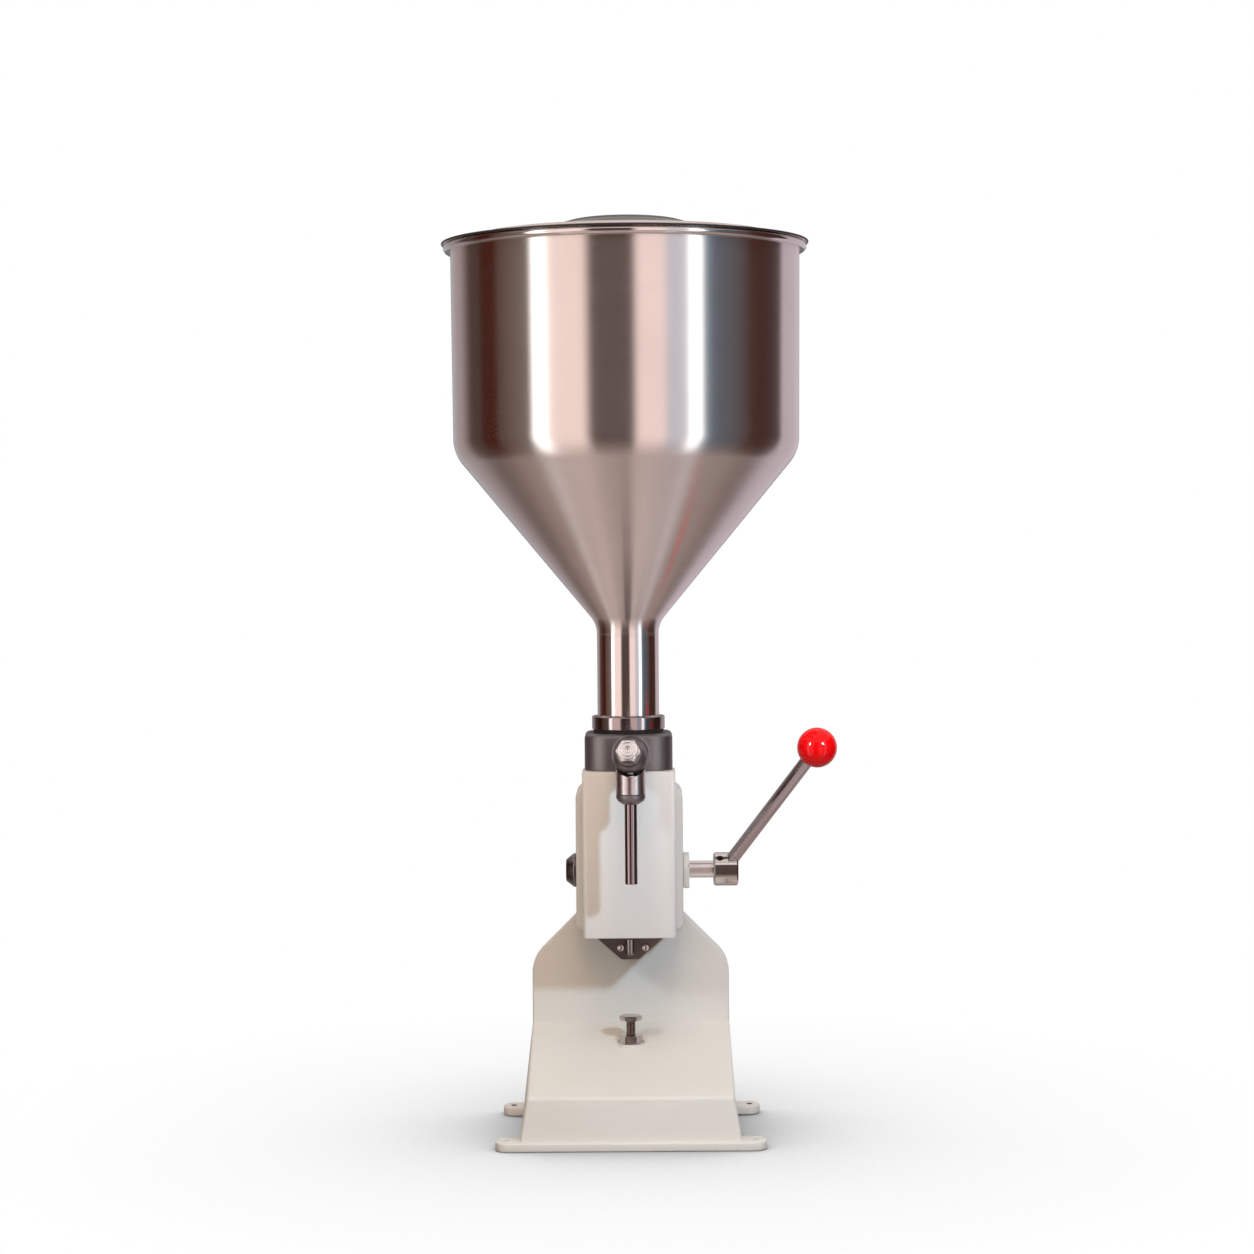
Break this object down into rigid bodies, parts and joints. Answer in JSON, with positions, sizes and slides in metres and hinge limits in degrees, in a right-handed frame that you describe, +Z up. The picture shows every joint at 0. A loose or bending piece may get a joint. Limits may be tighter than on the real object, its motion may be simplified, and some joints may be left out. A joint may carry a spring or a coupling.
{
  "type": "piston paste filling machine",
  "caption": "Lever-worked piston filler: stainless hopper on a valve block, front nozzle, and a cream cast frame with a stroke-adjusting bolt on its sloping base.",
  "frame": {"origin": "middle of the front foot's underside, on the bench", "axes": "+Z up, +X to the right of someone facing the nozzle, +Y to the back; the nozzle faces -Y"},
  "size_m": [0.3195, 0.3026, 0.748],
  "materials": {
    "cream_paint": "semi-gloss enamel",
    "brushed_steel": "brushed",
    "polished_steel": "polished",
    "satin_steel": "blasted satin",
    "dark_steel": "dark oiled",
    "red_gloss": "gloss",
    "black_rubber": "matte",
    "bronze": "machined",
    "white_plastic": "smooth"
  },
  "bodies": {
    "frame": {"frame_casting": "cream_paint", "front_cover": "cream_paint", "cover_screw_1": "brushed_steel", "cover_screw_2": "brushed_steel", "cover_screw_3": "brushed_steel", "cover_screw_4": "brushed_steel", "valve_block": "satin_steel", "block_screw_1": "brushed_steel", "block_screw_2": "brushed_steel", "block_screw_3": "brushed_steel", "block_screw_4": "brushed_steel", "barrel": "polished_steel", "barrel_gasket": "black_rubber", "hopper_gasket": "black_rubber", "hex_plug": "polished_steel", "nozzle_socket": "polished_steel", "nozzle_collar": "satin_steel", "nozzle_tube": "polished_steel", "outlet_spring": "polished_steel", "inlet_stop_pin": "polished_steel", "rack_guide": "bronze", "left_bush": "bronze", "right_bush": "bronze", "bearing_flange": "cream_paint", "left_thrust_washer": "bronze", "right_thrust_washer": "bronze"},
    "lever": {"pinion": "dark_steel", "pinion_key": "dark_steel", "shaft": "polished_steel", "shaft_cap": "dark_steel", "lever_hub": "polished_steel", "hub_set_screw": "dark_steel", "lever_bar": "polished_steel", "ball_knob": "red_gloss"},
    "piston": {"piston_head": "polished_steel", "piston_seal": "black_rubber", "piston_screw": "polished_steel", "rack_bar": "dark_steel", "stop_plate": "dark_steel", "stop_plate_screw_1": "brushed_steel", "stop_plate_screw_2": "brushed_steel", "stop_stud": "polished_steel"},
    "hopper": {"hopper_bowl": "brushed_steel", "neck_tube": "polished_steel", "collar_ring": "polished_steel"},
    "lid": {"lid": "brushed_steel"},
    "adjusting_bolt": {"adjusting_bolt": "brushed_steel"},
    "lock_nut": {"lock_nut": "brushed_steel"},
    "inlet_disc": {"inlet_disc": "white_plastic"},
    "outlet_ball": {"outlet_ball": "polished_steel"}
  },
  "joints": [
    {"name": "lever_turn", "type": "hinge", "parent": "frame", "child": "lever", "pos_m": [0, 0.119, 0.207], "axis": [1, 0, 0], "range_deg": [0, 104.17]},
    {"name": "piston_stroke", "type": "slide", "parent": "frame", "child": "piston", "axis": [0, 0, -1], "range_m": [0, 0.04]},
    {"name": "bolt_height", "type": "slide", "parent": "frame", "child": "adjusting_bolt", "axis": [0, 0, -1], "range_m": [-0.045, 0.01]},
    {"name": "nut_height", "type": "slide", "parent": "frame", "child": "lock_nut", "axis": [0, 0, -1], "range_m": [-0.008, 0]},
    {"name": "hopper_lift", "type": "slide", "parent": "frame", "child": "hopper", "axis": [0, 0, 1], "range_m": [0, 0.08]},
    {"name": "lid_lift", "type": "slide", "parent": "hopper", "child": "lid", "axis": [0, 0, 1], "range_m": [0, 0.06]},
    {"name": "inlet_check", "type": "slide", "parent": "frame", "child": "inlet_disc", "axis": [0, 0, 1], "range_m": [0, 0.005]},
    {"name": "outlet_check", "type": "slide", "parent": "frame", "child": "outlet_ball", "axis": [0, 0, -1], "range_m": [0, 0.004], "stiffness_N_per_m": 400, "springref_m": -0.002, "deforming": ["outlet_spring"]}
  ],
  "couplings": [
    {"joint": "piston_stroke", "follows": "lever_turn", "m_per_rad": 0.022}
  ]
}
